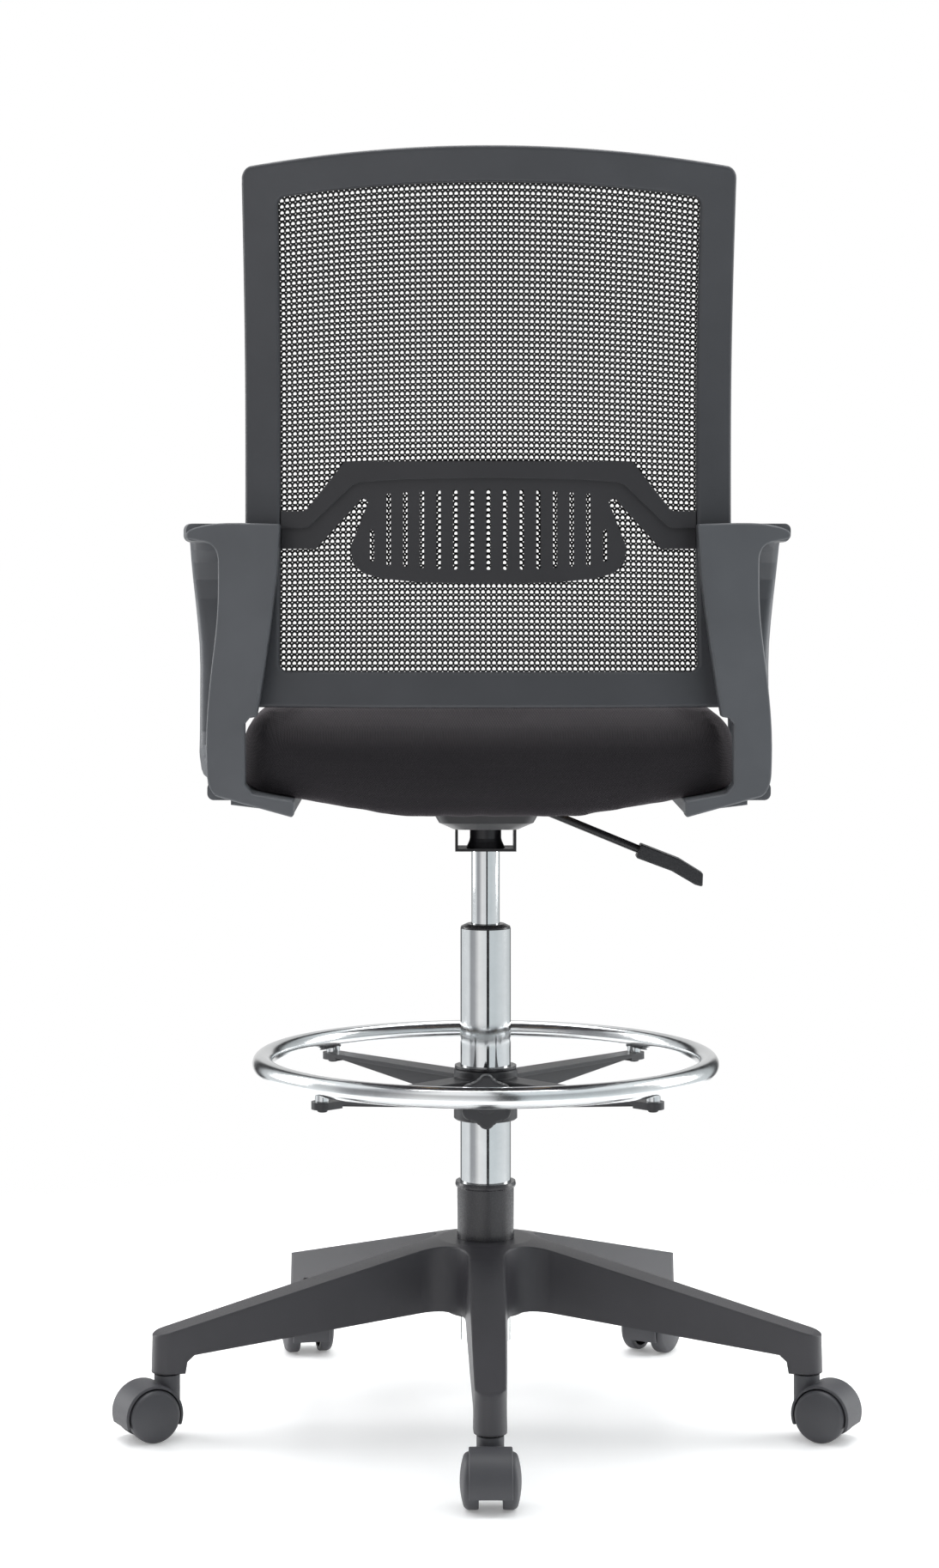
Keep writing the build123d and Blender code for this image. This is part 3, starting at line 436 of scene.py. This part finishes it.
def round_corners(x, z):
    """Pulls points that lie outside a corner's circle onto it, at all four corners of the back."""
    corner_x = back.half - EDGE_ROOM - CORNER_R
    middle_z = (back_top(x) + back.low) / 2
    corner_z = (back_top(x) - back.low) / 2 - EDGE_ROOM - CORNER_R
    past_x, past_z = np.abs(x) - corner_x, np.abs(z - middle_z) - corner_z
    far = np.hypot(past_x, past_z)
    outside = (past_x > 0) & (past_z > 0) & (far > CORNER_R)
    shrink = np.where(outside, CORNER_R / np.maximum(far, 1e-9), 1.0)
    x = np.where(outside, np.sign(x) * (corner_x + past_x * shrink), x)
    z = np.where(outside, middle_z + np.sign(z - middle_z) * (corner_z + past_z * shrink), z)
    return x, z


def knit_band(knit, first_row, last_row, rows, columns):
    """Points and faces of the rows of cells between two rows, with points that several cells share
    merged. A row's height is its share of the way from the straight bottom edge to the arched top
    edge, so the rows arch more and more towards the top. Points past the sides are pulled in."""
    cell, ring = knit_cell(knit)
    column, row = np.meshgrid(np.arange(columns), np.arange(first_row, last_row))
    middle_x = (column.ravel() - (columns - 1) / 2) * knit.wale
    middle_row = row.ravel() + 0.5
    x = middle_x[:, None] + cell[None, :, 0]
    share = (middle_row[:, None] + cell[None, :, 1] / knit.course) / rows
    x = np.clip(x, -back.half + EDGE_ROOM, back.half - EDGE_ROOM)
    z = back.low + EDGE_ROOM + share * (back_top(x) - back.low - 2 * EDGE_ROOM)
    x, z = round_corners(x, z)
    faces = (ring[None] + (np.arange(len(middle_x)) * len(cell))[:, None, None]).reshape(-1, 4)
    flat = np.stack([x.ravel(), z.ravel()], axis=-1)
    keys = np.round(flat / (0.02 * MM)).astype(np.int64)
    _, first, place = np.unique(keys, axis=0, return_index=True, return_inverse=True)
    faces = place.ravel()[faces]
    flat = flat[first]
    whole = [len(set(face)) == 4 for face in faces.tolist()]
    faces = faces[np.array(whole)]
    depth = back.depth(flat[:, 0], flat[:, 1])
    # the cords stand slightly proud of the bands between them, so the knit isn't a flat plate
    across = np.cos(2 * pi * (flat[:, 0] / knit.wale + 0.5 * ((columns - 1) % 2)))
    depth = depth - 0.12 * MM * across
    return np.column_stack([flat[:, 0], depth, flat[:, 1]]), faces[:, ::-1]


def make_knit(settings):
    """The knitted back in a few bands, each given its thickness by a Solidify modifier."""
    yarn = knit_yarn("knit_yarn_polyester", settings.yarn)
    columns = int(2 * back.half / settings.wale)
    rows = int(np.ceil((back.high - back.low) / settings.course))
    breaks = np.linspace(0, rows, settings.bands + 1).round().astype(int)
    for number, (low, high) in enumerate(zip(breaks, breaks[1:]), 1):
        points, faces = knit_band(settings, low, high, rows, columns)
        piece = new_piece(f"knit_band_{number}", points, faces, yarn, "seat")
        thick = piece.modifiers.new("Thickness", "SOLIDIFY")
        thick.thickness = settings.thickness
        thick.offset = 0.0
        if number == 1:
            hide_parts("back_mesh")


def bake_modifiers(piece):
    """Replaces a piece's mesh by what its modifiers make of it."""
    evaluated = piece.evaluated_get(bpy.context.evaluated_depsgraph_get())
    mesh = bpy.data.meshes.new_from_object(evaluated)
    piece.modifiers.clear()
    piece.data = mesh


def coordinates(mesh):
    co = np.empty(len(mesh.vertices) * 3, np.float32)
    mesh.vertices.foreach_get("co", co)
    return co.reshape(-1, 3).astype(float)


def move_points(mesh, points):
    mesh.vertices.foreach_set("co", np.asarray(points, np.float32).ravel())
    mesh.update()


# seat seen from above: corner x and y, and the radius that rounds it, anticlockwise from the rear left
SEAT_CORNERS = np.array([
    (226.5, 231, 36), (-226.5, 231, 36), (-236, 20, 900), (-228, -245, 84), (228, -245, 84), (236, 20, 900)]) * MM
BOARD_BOTTOM = 604.0 * MM
BOARD_LEVEL_HALF = 80.0 * MM        # the board is level up to here, then rises outwards
BOARD_RISE = 1 / 6
WRAP = 1.3 * MM                     # how far the cover lies below the board
SEAT_RIM = 697.0 * MM               # height where the sides' rounding ends
SEAT_CROWN = 5.5 * MM
CLOTH_FRAMES = 20


def rounded_outline(corners, count):
    """A convex outline with rounded corners, as points at equal steps and their outward normals: at
    each corner an arc about the point that lies one radius inside both of its sides, and straight
    runs between the arcs."""
    place, radius = corners[:, :2], corners[:, 2]
    back_way = np.roll(place, 1, axis=0) - place
    on_way = np.roll(place, -1, axis=0) - place
    back_way /= np.linalg.norm(back_way, axis=1)[:, None]
    on_way /= np.linalg.norm(on_way, axis=1)[:, None]
    half_angle = np.arccos(np.sum(back_way * on_way, axis=1)) / 2
    bisector = back_way + on_way
    bisector /= np.linalg.norm(bisector, axis=1)[:, None]
    centre = place + bisector * (radius / np.sin(half_angle))[:, None]
    start = place + back_way * (radius / np.tan(half_angle))[:, None] - centre
    first = np.arctan2(start[:, 1], start[:, 0])
    turn = pi - 2 * half_angle
    angle = first[:, None] + turn[:, None] * np.linspace(0, 1, 24)[None, :]
    arcs = centre[:, None] + radius[:, None, None] * np.stack([np.cos(angle), np.sin(angle)], axis=-1)
    line = arcs.reshape(-1, 2)
    line = np.vstack([line, line[:1]])
    run = np.concatenate([[0], np.cumsum(np.linalg.norm(np.diff(line, axis=0), axis=1))])
    steps = np.linspace(0, run[-1], count, endpoint=False)
    points = np.column_stack([np.interp(steps, run, line[:, axis]) for axis in (0, 1)])
    along = np.roll(points, -1, axis=0) - np.roll(points, 1, axis=0)
    normal = np.column_stack([along[:, 1], -along[:, 0]])
    return points, normal / np.linalg.norm(normal, axis=1)[:, None]


def board_bottom(x):
    """Underside of the moulded board: level in the middle, rising in straight slopes to the sides."""
    return BOARD_BOTTOM + np.maximum(0.0, np.abs(x) - BOARD_LEVEL_HALF) * BOARD_RISE


def seat_shell():
    """Closed shell of the covered seat: each outline point carries the same profile. From the middle
    of the underside it goes outwards along the board, round a tight lower edge, up a side that
    bulges as half a sine wave, over a quarter ellipse, and in along the crowned top to the middle.
    The ellipse is large behind and in front and small at the corners."""
    outline, normal = rounded_outline(SEAT_CORNERS, 220)
    straight = np.maximum(np.abs(normal[:, 0]), np.abs(normal[:, 1])) ** 6
    edge = (26 + 26 * straight * (np.abs(normal[:, 1]) > 0.5)) * MM
    lower_r = 9 * MM
    rings = []

    def add(inset, height, scale=1.0):
        spot = (outline - normal * np.broadcast_to(inset, len(outline))[:, None]) * scale
        low = board_bottom(spot[:, 0]) - WRAP
        rings.append(np.column_stack([spot, height(low)]))

    for scale in (0.03, 0.25, 0.5, 0.75, 1.0):
        add(24 * MM, lambda low: low, scale)
    for turn in np.linspace(0, pi / 2, 6):
        add(lower_r * (1 - np.sin(turn)), lambda low: low + lower_r * (1 - np.cos(turn)))
    for share in np.linspace(0.12, 0.88, 6):
        add(-2.6 * MM * np.sin(pi * share),
            lambda low: low + lower_r + share * (SEAT_RIM - edge - low - lower_r))
    for turn in np.linspace(0, pi / 2, 10):
        add(1.15 * edge * (1 - np.cos(turn)), lambda low: SEAT_RIM - edge + edge * np.sin(turn))
    for scale in (0.94, 0.85, 0.7, 0.5, 0.25, 0.03):
        add(1.15 * edge, lambda low: np.full(len(low), SEAT_RIM), scale)
    points = np.vstack(rings)
    across, along = points[:, 0] / 0.236, (points[:, 1] + 0.007) / 0.238
    crown = np.clip(1 - across ** 2, 0, 1) * np.clip(1 - along ** 2, 0, 1) ** 0.7
    points[:, 2] += (points[:, 2] > SEAT_RIM - 1 * MM) * SEAT_CROWN * crown
    return points, len(rings), len(outline)


def staple_ripple(points):
    """Pulls the lower edge in and up by a fraction of a millimetre between the staples, as sine waves
    in x and y about 30 mm long."""
    near = np.exp(-((points[:, 2] - board_bottom(points[:, 0])) / (9 * MM)) ** 2)
    outside = np.clip((np.abs(points[:, 0]) - 0.17) / 0.04, 0, 1) + np.clip((np.abs(points[:, 1]) - 0.17) / 0.04, 0, 1)
    wave = np.sin(points[:, 0] / (4.9 * MM)) * np.sin(points[:, 0] / (31 * MM) + 1.0) + np.sin(points[:, 1] / (5.3 * MM))
    points[:, 2] += 0.55 * MM * near * np.clip(outside, 0, 1) * wave
    return points


def swollen(piece, low):
    """Runs the cover as cloth under pressure from the foam and returns its points. The underside is
    pinned, because it is stapled to the board."""
    start = coordinates(piece.data)
    pinned = piece.vertex_groups.new(name="Staples")
    pinned.add(np.flatnonzero(start[:, 2] < low + 10 * MM).tolist(), 1.0, "REPLACE")
    cloth = piece.modifiers.new("Cloth", "CLOTH")
    cloth.settings.use_pressure = True
    cloth.settings.uniform_pressure_force = 4.0
    cloth.settings.effector_weights.gravity = 0.0
    cloth.settings.vertex_group_mass = "Staples"
    cloth.point_cache.frame_start = 1
    cloth.point_cache.frame_end = CLOTH_FRAMES
    scene = bpy.context.scene
    for number in range(1, CLOTH_FRAMES + 1):
        scene.frame_set(number)
    moved = coordinates(piece.evaluated_get(bpy.context.evaluated_depsgraph_get()).data)
    piece.modifiers.clear()
    piece.vertex_groups.clear()
    scene.frame_set(1)
    return moved


def make_seat_cover(settings):
    """The seat's foam and cover in one padded piece: a shell remeshed evenly, swollen as cloth with a
    cap on how far a point may move, and smoothed."""
    points, rings, count = seat_shell()
    quads = grid_faces(rings, count, wrap_columns=True).tolist()
    last = (rings - 1) * count
    caps = [list(range(count))[::-1], list(range(last, last + count))]
    mesh = bpy.data.meshes.new("seat_cover")
    mesh.from_pydata(points.tolist(), [], quads + caps)
    piece = bpy.data.objects.new("seat_cover", mesh)
    bpy.context.scene.collection.objects.link(piece)
    remesh = piece.modifiers.new("Remesh", "REMESH")
    remesh.mode = "VOXEL"
    remesh.voxel_size = settings.voxel
    bake_modifiers(piece)
    start = coordinates(piece.data)
    shift = swollen(piece, start[:, 2].min()) - start
    size = np.linalg.norm(shift, axis=1)
    height = np.clip((start[:, 2] - 0.62) / 0.07, 0, 1)
    cap = settings.side_swell + (settings.swell - settings.side_swell) * height ** 3
    start += shift * np.minimum(1.0, cap / np.maximum(size, 1e-9))[:, None]
    start[:, 2] = np.minimum(start[:, 2], SEAT_RIM + SEAT_CROWN + settings.swell)
    move_points(piece.data, staple_ripple(start))
    smooth = piece.modifiers.new("Smooth", "SMOOTH")
    smooth.factor = 0.5
    smooth.iterations = 3
    finer = piece.modifiers.new("Subdivision", "SUBSURF")
    finer.levels = finer.render_levels = 1
    bake_modifiers(piece)
    piece.data.polygons.foreach_set("use_smooth", np.full(len(piece.data.polygons), True))
    piece.data.materials.clear()
    piece.data.materials.append(woven_polyester("seat_woven_polyester", settings.cloth, 1.7))
    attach(piece, "seat")
    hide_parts("seat_cushion")


# ---------------------------------------------------------------- finishes of the CAD nodes
def finish_nodes(colours):
    """Gives every CAD node that stays in sight the finish of its material slot."""
    chrome = chrome_plate("chrome_plate_tube", 0.05, 0.05)
    by_slot = {
        "base_nylon": moulded_plastic("glass_filled_nylon_base", colours.base, 0.40, 0.9, 0.22, 3.0),
        "caster_nylon": moulded_plastic("nylon_caster_hood", colours.caster, 0.50, 0.8, 0.15),
        "wheel_nylon": moulded_plastic("nylon_wheel", colours.caster, 0.48, 0.9, 0.15),
        "collar_plastic": moulded_plastic("satin_polypropylene_sleeve", colours.collar, 0.26, 1.4, 0.04),
        "hub_plastic": moulded_plastic("nylon_ring_hub", colours.hub, 0.40, 0.8, 0.12),
        "arm_plastic": moulded_plastic("polypropylene_arm", colours.arms, 0.46, 0.8, 0.12, 2.0),
        "back_plastic": moulded_plastic("polypropylene_back_frame", colours.back, 0.50, 0.8, 0.12),
        "lumbar_plastic": moulded_plastic("polypropylene_lumbar", colours.lumbar, 0.52, 0.8, 0.12),
        "chrome": chrome,
        "steel_pins": turned_steel("turned_steel_pins"),
        "black_steel": powder_coat("powder_coated_steel", colours.coating),
        "bumper_rubber": soft_rubber("buffer_rubber"),
        "plywood": beech_plywood("beech_plywood_board"),
        "seat_fabric": woven_polyester("seat_cloth_plain", linear("#2b282b"), 1.7),
        "mesh_fabric": woven_polyester("edge_knit", linear("#19191b"), 1.2),
    }
    slots = {part["node"]: part["material_slot"] for part in frame["record"]["subparts"]}
    for name, node in frame["nodes"].items():
        material = by_slot[slots[name]]
        for place in range(len(node.data.materials)):
            node.data.materials[place] = material
    ring = chrome_plate("satin_chrome_foot_ring", 0.14, 0.08)
    frame["nodes"]["foot_ring"].data.materials[0] = ring
    frame["nodes"]["mesh_frame"].data.materials[0] = by_slot["mesh_fabric"]


# ---------------------------------------------------------------- studio
CAMERA_PLACE = (0.0437, 3.300, 0.850)
CAMERA_SHIFT = (0.018, -0.1506)
FLOOR_HALF = 1.3


def softbox(name, place, target, size, power):
    """A rectangular area light at place that faces target."""
    data = bpy.data.lights.new(name, "AREA")
    data.shape = "RECTANGLE"
    data.size, data.size_y = size
    data.energy = power
    lamp = bpy.data.objects.new(name, data)
    bpy.context.scene.collection.objects.link(lamp)
    lamp.location = place
    from mathutils import Vector
    lamp.rotation_euler = (Vector(target) - Vector(place)).to_track_quat("-Z", "Y").to_euler()
    return lamp


# bearing from straight towards the viewer (positive to their left) and brightness there, for a ring of
# soft panels with dark gaps between them, which draw the dark lines down the chromed column
SURROUND = [
    (-180, "#ffffff"), (-166, "#ffffff"), (-160, "#3c3c3e"), (-150, "#454547"), (-144, "#d3d9db"),
    (-100, "#f2f6f8"), (-45, "#dde4e7"), (-17, "#dfe6e9"), (-15, "#201f21"), (-5, "#201f21"), (-3, "#f4f6f8"),
    (30, "#ffffff"), (52, "#b4b5b8"), (70, "#a8aaad"), (84, "#f4f7f9"), (140, "#e4e8ea"), (146, "#454547"),
    (158, "#3c3c3e"), (164, "#ffffff"), (180, "#ffffff")]
# the same by elevation: pale floor, darker walls, white ceiling
WALLS = [(-90, "#ffffff"), (-24, "#ffffff"), (-14, "#f4f4f4"), (2, "#d9d9d9"), (26, "#c4c4c4"), (42, "#ffffff"),
         (90, "#ffffff")]


def tone_ramp(tree, angle, stops):
    """Brightness by an angle in radians, read off a list of degrees and colours."""
    low, high = stops[0][0], stops[-1][0]
    share = add_node(tree, "ShaderNodeMapRange", {"From Min": radians(low), "From Max": radians(high)},
                     {"Value": angle}).outputs[0]
    node = add_node(tree, "ShaderNodeValToRGB", links={0: share})
    ramp = node.color_ramp
    ramp.elements[0].position, ramp.elements[0].color = 0.0, linear(stops[0][1])
    ramp.elements[1].position, ramp.elements[1].color = 1.0, linear(stops[-1][1])
    for degrees, code in stops[1:-1]:
        ramp.elements.new((degrees - low) / (high - low)).color = linear(code)
    return node.outputs[0]


def white_surround(strength):
    """World that lights the chair from all round, brighter from the sides, behind and above than from
    the viewer's side. What shows behind the chair is plain white."""
    world = bpy.data.worlds.new("white_surround")
    world.use_nodes = True
    tree = world.node_tree
    tree.nodes.clear()
    place = add_node(tree, "ShaderNodeTexCoord").outputs["Generated"]
    parts = add_node(tree, "ShaderNodeSeparateXYZ", links={0: place})
    bearing = add_node(tree, "ShaderNodeMath", {"operation": "ARCTAN2"}, {
        0: parts.outputs[0], 1: parts.outputs[1]}).outputs[0]
    rise = add_node(tree, "ShaderNodeMath", {"operation": "ARCSINE"}, {0: parts.outputs[2]}).outputs[0]
    panels = tone_ramp(tree, bearing, SURROUND)
    walls = tone_ramp(tree, rise, WALLS)
    both = add_node(tree, "ShaderNodeMix", {"data_type": "RGBA", "blend_type": "MULTIPLY", 0: 1.0}, {6: panels, 7: walls})
    lit = add_node(tree, "ShaderNodeBackground", {"Strength": strength}, {"Color": both.outputs[2]})
    plain = add_node(tree, "ShaderNodeBackground", {"Color": (1, 1, 1, 1), "Strength": 1.0})
    seen = add_node(tree, "ShaderNodeLightPath").outputs["Is Camera Ray"]
    mixed = add_node(tree, "ShaderNodeMixShader", links={0: seen, 1: lit.outputs[0], 2: plain.outputs[0]})
    add_node(tree, "ShaderNodeOutputWorld", links={0: mixed.outputs[0]})
    bpy.context.scene.world = world


def make_stage(settings):
    """Floor, surround, softboxes and camera."""
    corners = FLOOR_HALF * np.array([(-1, -1, 0), (1, -1, 0), (1, 1, 0), (-1, 1, 0)])
    mesh = bpy.data.meshes.new("studio_floor")
    mesh.from_pydata(corners.tolist(), [], [(0, 1, 2, 3)])
    floor = bpy.data.objects.new("studio_floor", mesh)
    bpy.context.scene.collection.objects.link(floor)
    mesh.materials.append(studio_floor("pale_vinyl_floor", settings.floor))
    white_surround(settings.ambient)
    softbox("overhead_softbox", (0.0, -0.5, 3.4), (0.0, 0.0, 0.6), (3.0, 2.4), settings.overhead)
    softbox("left_softbox", (2.6, -0.9, 1.3), (0.0, 0.1, 0.7), (1.2, 2.2), settings.side)
    softbox("right_softbox", (-2.6, -0.7, 1.3), (0.0, 0.1, 0.7), (1.2, 2.2), settings.side)
    data = bpy.data.cameras.new("camera")
    data.lens = settings.lens
    data.shift_x, data.shift_y = CAMERA_SHIFT
    data.clip_end = 60.0
    camera = bpy.data.objects.new("camera", data)
    bpy.context.scene.collection.objects.link(camera)
    camera.location = CAMERA_PLACE
    camera.rotation_euler = (radians(90), 0.0, radians(180))
    bpy.context.scene.camera = camera
    bpy.context.scene.view_settings.view_transform = "Standard"


# ---------------------------------------------------------------- operators
class CHAIR_OT_stage(bpy.types.Operator):
    """Make the floor, the lights and the camera"""
    bl_idname = "chair.stage"
    bl_label = "Studio"

    def execute(self, context):
        make_stage(context.scene.chair_stage)
        return {"FINISHED"}


class CHAIR_OT_finishes(bpy.types.Operator):
    """Give every rigid part its plastic, chrome, steel or wood"""
    bl_idname = "chair.finishes"
    bl_label = "Finishes"

    def execute(self, context):
        finish_nodes(context.scene.chair_finishes)
        return {"FINISHED"}


class CHAIR_OT_knit(bpy.types.Operator):
    """Knit the mesh of the back, hole by hole"""
    bl_idname = "chair.knit"
    bl_label = "Knitted back"

    def execute(self, context):
        make_knit(context.scene.chair_knit)
        return {"FINISHED"}


class CHAIR_OT_seat_cover(bpy.types.Operator):
    """Upholster the seat"""
    bl_idname = "chair.seat_cover"
    bl_label = "Seat cover"

    def execute(self, context):
        make_seat_cover(context.scene.chair_seat)
        return {"FINISHED"}


STEPS = ("stage", "finishes", "knit", "seat_cover")


class CHAIR_PT_panel(bpy.types.Panel):
    """Lists the chair's steps and their settings"""
    bl_idname = "CHAIR_PT_panel"
    bl_label = "Drafting Chair"
    bl_space_type = "VIEW_3D"
    bl_region_type = "UI"
    bl_category = "Drafting Chair"

    def draw(self, context):
        for step in STEPS:
            self.layout.operator(f"chair.{step}")
        for group in (context.scene.chair_knit, context.scene.chair_seat, context.scene.chair_finishes,
                      context.scene.chair_stage):
            box = self.layout.box()
            for name in group.__annotations__:
                box.prop(group, name)


GROUPS = {"chair_knit": KnitSettings, "chair_seat": SeatSettings, "chair_finishes": FinishSettings,
          "chair_stage": StageSettings}
CLASSES = (*GROUPS.values(), CHAIR_OT_stage, CHAIR_OT_finishes, CHAIR_OT_knit, CHAIR_OT_seat_cover,
           CHAIR_PT_panel)


def register():
    for item in CLASSES:
        bpy.utils.register_class(item)
    for name, group in GROUPS.items():
        setattr(bpy.types.Scene, name, PointerProperty(type=group))


def unregister():
    for name in GROUPS:
        delattr(bpy.types.Scene, name)
    for item in reversed(CLASSES):
        bpy.utils.unregister_class(item)


def main():
    register()
    for step in STEPS:
        getattr(bpy.ops.chair, step)()


if __name__ == "__main__":
    main()
